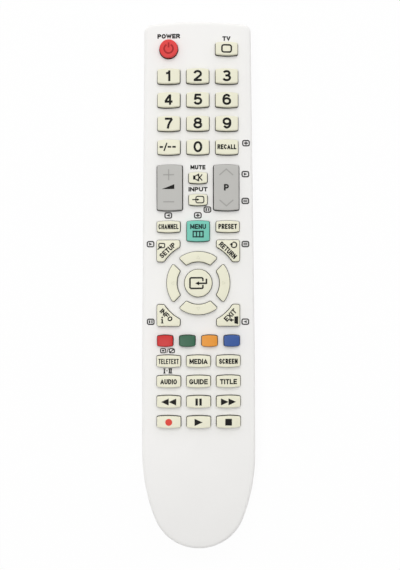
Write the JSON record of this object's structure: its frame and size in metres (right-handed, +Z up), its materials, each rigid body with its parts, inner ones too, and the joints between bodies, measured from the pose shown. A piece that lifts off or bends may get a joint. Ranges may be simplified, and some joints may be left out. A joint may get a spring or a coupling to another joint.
{
  "type": "tv remote control",
  "caption": "Slim hand-held remote control: crowned two-part case, number pad, two rockers, ring pad, colour and transport keys, sliding battery cover at the back.",
  "frame": {"origin": "on the surface that the remote lies on, under the middle of its outline", "axes": "+Z up out of the keys, +Y towards the emitter end, +X to the right as the remote is held"},
  "size_m": [0.0454, 0.2128, 0.0245],
  "materials": {
    "case_plastic": "fine satin moulding",
    "key_plastic": "satin cream keys with printed marks",
    "rocker_grey": "satin grey",
    "power_red": "satin red",
    "menu_teal": "satin teal",
    "red": "satin red",
    "green": "satin green",
    "amber": "satin amber",
    "blue": "satin blue",
    "membrane": "thin moulded rubber sheet",
    "board": "glass-fibre laminate",
    "emitter_lens": "clear dark lens",
    "chip": "moulded epoxy",
    "ceramic": "dipped ceramic",
    "capacitor_sleeve": "bare can",
    "cell_jacket": "plain printed jacket",
    "contact_plating": "nickel-plated spring steel"
  },
  "bodies": {
    "case": {"top_case": "case_plastic", "bottom_case": "case_plastic", "contact_membrane": "membrane", "circuit_board": "board", "infrared_emitter": "emitter_lens", "controller_chip": "chip", "resonator": "ceramic", "capacitor": "capacitor_sleeve", "battery_left": "cell_jacket", "battery_right": "cell_jacket", "battery_contacts": "contact_plating"},
    "cover": {"battery_cover": "case_plastic"},
    "blue_key_body": {"blue_key": "blue"},
    "channel_list_key_body": {"channel_list_key": "key_plastic"},
    "digit_0_key_body": {"digit_0_key": "key_plastic"},
    "digit_1_key_body": {"digit_1_key": "key_plastic"},
    "digit_2_key_body": {"digit_2_key": "key_plastic"},
    "digit_3_key_body": {"digit_3_key": "key_plastic"},
    "digit_4_key_body": {"digit_4_key": "key_plastic"},
    "digit_5_key_body": {"digit_5_key": "key_plastic"},
    "digit_6_key_body": {"digit_6_key": "key_plastic"},
    "digit_7_key_body": {"digit_7_key": "key_plastic"},
    "digit_8_key_body": {"digit_8_key": "key_plastic"},
    "digit_9_key_body": {"digit_9_key": "key_plastic"},
    "down_key_body": {"down_key": "key_plastic"},
    "dual_key_body": {"dual_key": "key_plastic"},
    "enter_key_body": {"enter_key": "key_plastic"},
    "exit_key_body": {"exit_key": "key_plastic"},
    "favourites_key_body": {"favourites_key": "key_plastic"},
    "forward_key_body": {"forward_key": "key_plastic"},
    "green_key_body": {"green_key": "green"},
    "guide_key_body": {"guide_key": "key_plastic"},
    "info_key_body": {"info_key": "key_plastic"},
    "left_key_body": {"left_key": "key_plastic"},
    "media_key_body": {"media_key": "key_plastic"},
    "menu_key_body": {"menu_key": "menu_teal"},
    "mute_key_body": {"mute_key": "key_plastic"},
    "pause_key_body": {"pause_key": "key_plastic"},
    "picture_size_key_body": {"picture_size_key": "key_plastic"},
    "play_key_body": {"play_key": "key_plastic"},
    "power_key_body": {"power_key": "power_red"},
    "previous_channel_key_body": {"previous_channel_key": "key_plastic"},
    "record_key_body": {"record_key": "key_plastic"},
    "red_key_body": {"red_key": "red"},
    "return_key_body": {"return_key": "key_plastic"},
    "rewind_key_body": {"rewind_key": "key_plastic"},
    "right_key_body": {"right_key": "key_plastic"},
    "source_key_body": {"source_key": "key_plastic"},
    "stop_key_body": {"stop_key": "key_plastic"},
    "subtitle_key_body": {"subtitle_key": "key_plastic"},
    "teletext_key_body": {"teletext_key": "key_plastic"},
    "tools_key_body": {"tools_key": "key_plastic"},
    "tv_key_body": {"tv_key": "key_plastic"},
    "two_digit_key_body": {"two_digit_key": "key_plastic"},
    "up_key_body": {"up_key": "key_plastic"},
    "yellow_key_body": {"yellow_key": "amber"},
    "volume_rocker_body": {"volume_rocker": "rocker_grey"},
    "channel_rocker_body": {"channel_rocker": "rocker_grey"}
  },
  "joints": [
    {"name": "blue_key_press", "type": "slide", "parent": "case", "child": "blue_key_body", "axis": [0, 0, -1], "range_m": [0, 0.001], "stiffness_N_per_m": 700, "springref_m": -0.0005},
    {"name": "channel_list_key_press", "type": "slide", "parent": "case", "child": "channel_list_key_body", "axis": [0, 0, -1], "range_m": [0, 0.001], "stiffness_N_per_m": 700, "springref_m": -0.0005},
    {"name": "digit_0_key_press", "type": "slide", "parent": "case", "child": "digit_0_key_body", "axis": [0, 0, -1], "range_m": [0, 0.001], "stiffness_N_per_m": 700, "springref_m": -0.0005},
    {"name": "digit_1_key_press", "type": "slide", "parent": "case", "child": "digit_1_key_body", "axis": [0, 0, -1], "range_m": [0, 0.001], "stiffness_N_per_m": 700, "springref_m": -0.0005},
    {"name": "digit_2_key_press", "type": "slide", "parent": "case", "child": "digit_2_key_body", "axis": [0, 0, -1], "range_m": [0, 0.001], "stiffness_N_per_m": 700, "springref_m": -0.0005},
    {"name": "digit_3_key_press", "type": "slide", "parent": "case", "child": "digit_3_key_body", "axis": [0, 0, -1], "range_m": [0, 0.001], "stiffness_N_per_m": 700, "springref_m": -0.0005},
    {"name": "digit_4_key_press", "type": "slide", "parent": "case", "child": "digit_4_key_body", "axis": [0, 0, -1], "range_m": [0, 0.001], "stiffness_N_per_m": 700, "springref_m": -0.0005},
    {"name": "digit_5_key_press", "type": "slide", "parent": "case", "child": "digit_5_key_body", "axis": [0, 0, -1], "range_m": [0, 0.001], "stiffness_N_per_m": 700, "springref_m": -0.0005},
    {"name": "digit_6_key_press", "type": "slide", "parent": "case", "child": "digit_6_key_body", "axis": [0, 0, -1], "range_m": [0, 0.001], "stiffness_N_per_m": 700, "springref_m": -0.0005},
    {"name": "digit_7_key_press", "type": "slide", "parent": "case", "child": "digit_7_key_body", "axis": [0, 0, -1], "range_m": [0, 0.001], "stiffness_N_per_m": 700, "springref_m": -0.0005},
    {"name": "digit_8_key_press", "type": "slide", "parent": "case", "child": "digit_8_key_body", "axis": [0, 0, -1], "range_m": [0, 0.001], "stiffness_N_per_m": 700, "springref_m": -0.0005},
    {"name": "digit_9_key_press", "type": "slide", "parent": "case", "child": "digit_9_key_body", "axis": [0, 0, -1], "range_m": [0, 0.001], "stiffness_N_per_m": 700, "springref_m": -0.0005},
    {"name": "down_key_press", "type": "slide", "parent": "case", "child": "down_key_body", "axis": [0, 0, -1], "range_m": [0, 0.001], "stiffness_N_per_m": 700, "springref_m": -0.0005},
    {"name": "dual_key_press", "type": "slide", "parent": "case", "child": "dual_key_body", "axis": [0, 0, -1], "range_m": [0, 0.001], "stiffness_N_per_m": 700, "springref_m": -0.0005},
    {"name": "enter_key_press", "type": "slide", "parent": "case", "child": "enter_key_body", "axis": [0, 0, -1], "range_m": [0, 0.001], "stiffness_N_per_m": 700, "springref_m": -0.0005},
    {"name": "exit_key_press", "type": "slide", "parent": "case", "child": "exit_key_body", "axis": [0, 0, -1], "range_m": [0, 0.001], "stiffness_N_per_m": 700, "springref_m": -0.0005},
    {"name": "favourites_key_press", "type": "slide", "parent": "case", "child": "favourites_key_body", "axis": [0, 0, -1], "range_m": [0, 0.001], "stiffness_N_per_m": 700, "springref_m": -0.0005},
    {"name": "forward_key_press", "type": "slide", "parent": "case", "child": "forward_key_body", "axis": [0, 0, -1], "range_m": [0, 0.001], "stiffness_N_per_m": 700, "springref_m": -0.0005},
    {"name": "green_key_press", "type": "slide", "parent": "case", "child": "green_key_body", "axis": [0, 0, -1], "range_m": [0, 0.001], "stiffness_N_per_m": 700, "springref_m": -0.0005},
    {"name": "guide_key_press", "type": "slide", "parent": "case", "child": "guide_key_body", "axis": [0, 0, -1], "range_m": [0, 0.001], "stiffness_N_per_m": 700, "springref_m": -0.0005},
    {"name": "info_key_press", "type": "slide", "parent": "case", "child": "info_key_body", "axis": [0, 0, -1], "range_m": [0, 0.001], "stiffness_N_per_m": 700, "springref_m": -0.0005},
    {"name": "left_key_press", "type": "slide", "parent": "case", "child": "left_key_body", "axis": [0, 0, -1], "range_m": [0, 0.001], "stiffness_N_per_m": 700, "springref_m": -0.0005},
    {"name": "media_key_press", "type": "slide", "parent": "case", "child": "media_key_body", "axis": [0, 0, -1], "range_m": [0, 0.001], "stiffness_N_per_m": 700, "springref_m": -0.0005},
    {"name": "menu_key_press", "type": "slide", "parent": "case", "child": "menu_key_body", "axis": [0, 0, -1], "range_m": [0, 0.001], "stiffness_N_per_m": 700, "springref_m": -0.0005},
    {"name": "mute_key_press", "type": "slide", "parent": "case", "child": "mute_key_body", "axis": [0, 0, -1], "range_m": [0, 0.001], "stiffness_N_per_m": 700, "springref_m": -0.0005},
    {"name": "pause_key_press", "type": "slide", "parent": "case", "child": "pause_key_body", "axis": [0, 0, -1], "range_m": [0, 0.001], "stiffness_N_per_m": 700, "springref_m": -0.0005},
    {"name": "picture_size_key_press", "type": "slide", "parent": "case", "child": "picture_size_key_body", "axis": [0, 0, -1], "range_m": [0, 0.001], "stiffness_N_per_m": 700, "springref_m": -0.0005},
    {"name": "play_key_press", "type": "slide", "parent": "case", "child": "play_key_body", "axis": [0, 0, -1], "range_m": [0, 0.001], "stiffness_N_per_m": 700, "springref_m": -0.0005},
    {"name": "power_key_press", "type": "slide", "parent": "case", "child": "power_key_body", "axis": [0, 0, -1], "range_m": [0, 0.001], "stiffness_N_per_m": 700, "springref_m": -0.0005},
    {"name": "previous_channel_key_press", "type": "slide", "parent": "case", "child": "previous_channel_key_body", "axis": [0, 0, -1], "range_m": [0, 0.001], "stiffness_N_per_m": 700, "springref_m": -0.0005},
    {"name": "record_key_press", "type": "slide", "parent": "case", "child": "record_key_body", "axis": [0, 0, -1], "range_m": [0, 0.001], "stiffness_N_per_m": 700, "springref_m": -0.0005},
    {"name": "red_key_press", "type": "slide", "parent": "case", "child": "red_key_body", "axis": [0, 0, -1], "range_m": [0, 0.001], "stiffness_N_per_m": 700, "springref_m": -0.0005},
    {"name": "return_key_press", "type": "slide", "parent": "case", "child": "return_key_body", "axis": [0, 0, -1], "range_m": [0, 0.001], "stiffness_N_per_m": 700, "springref_m": -0.0005},
    {"name": "rewind_key_press", "type": "slide", "parent": "case", "child": "rewind_key_body", "axis": [0, 0, -1], "range_m": [0, 0.001], "stiffness_N_per_m": 700, "springref_m": -0.0005},
    {"name": "right_key_press", "type": "slide", "parent": "case", "child": "right_key_body", "axis": [0, 0, -1], "range_m": [0, 0.001], "stiffness_N_per_m": 700, "springref_m": -0.0005},
    {"name": "source_key_press", "type": "slide", "parent": "case", "child": "source_key_body", "axis": [0, 0, -1], "range_m": [0, 0.001], "stiffness_N_per_m": 700, "springref_m": -0.0005},
    {"name": "stop_key_press", "type": "slide", "parent": "case", "child": "stop_key_body", "axis": [0, 0, -1], "range_m": [0, 0.001], "stiffness_N_per_m": 700, "springref_m": -0.0005},
    {"name": "subtitle_key_press", "type": "slide", "parent": "case", "child": "subtitle_key_body", "axis": [0, 0, -1], "range_m": [0, 0.001], "stiffness_N_per_m": 700, "springref_m": -0.0005},
    {"name": "teletext_key_press", "type": "slide", "parent": "case", "child": "teletext_key_body", "axis": [0, 0, -1], "range_m": [0, 0.001], "stiffness_N_per_m": 700, "springref_m": -0.0005},
    {"name": "tools_key_press", "type": "slide", "parent": "case", "child": "tools_key_body", "axis": [0, 0, -1], "range_m": [0, 0.001], "stiffness_N_per_m": 700, "springref_m": -0.0005},
    {"name": "tv_key_press", "type": "slide", "parent": "case", "child": "tv_key_body", "axis": [0, 0, -1], "range_m": [0, 0.001], "stiffness_N_per_m": 700, "springref_m": -0.0005},
    {"name": "two_digit_key_press", "type": "slide", "parent": "case", "child": "two_digit_key_body", "axis": [0, 0, -1], "range_m": [0, 0.001], "stiffness_N_per_m": 700, "springref_m": -0.0005},
    {"name": "up_key_press", "type": "slide", "parent": "case", "child": "up_key_body", "axis": [0, 0, -1], "range_m": [0, 0.001], "stiffness_N_per_m": 700, "springref_m": -0.0005},
    {"name": "yellow_key_press", "type": "slide", "parent": "case", "child": "yellow_key_body", "axis": [0, 0, -1], "range_m": [0, 0.001], "stiffness_N_per_m": 700, "springref_m": -0.0005},
    {"name": "volume_rocker_tilt", "type": "hinge", "parent": "case", "child": "volume_rocker_body", "pos_m": [-0.0113, 0.0393, 0.0193], "axis": [1, 0, 0], "range_deg": [-4, 4], "stiffness_Nm_per_rad": 0.05},
    {"name": "channel_rocker_tilt", "type": "hinge", "parent": "case", "child": "channel_rocker_body", "pos_m": [0.0113, 0.0393, 0.0193], "axis": [1, 0, 0], "range_deg": [-4, 4], "stiffness_Nm_per_rad": 0.05},
    {"name": "battery_cover_slide", "type": "slide", "parent": "case", "child": "cover", "axis": [0, -1, 0], "range_m": [0, 0.078]}
  ]
}
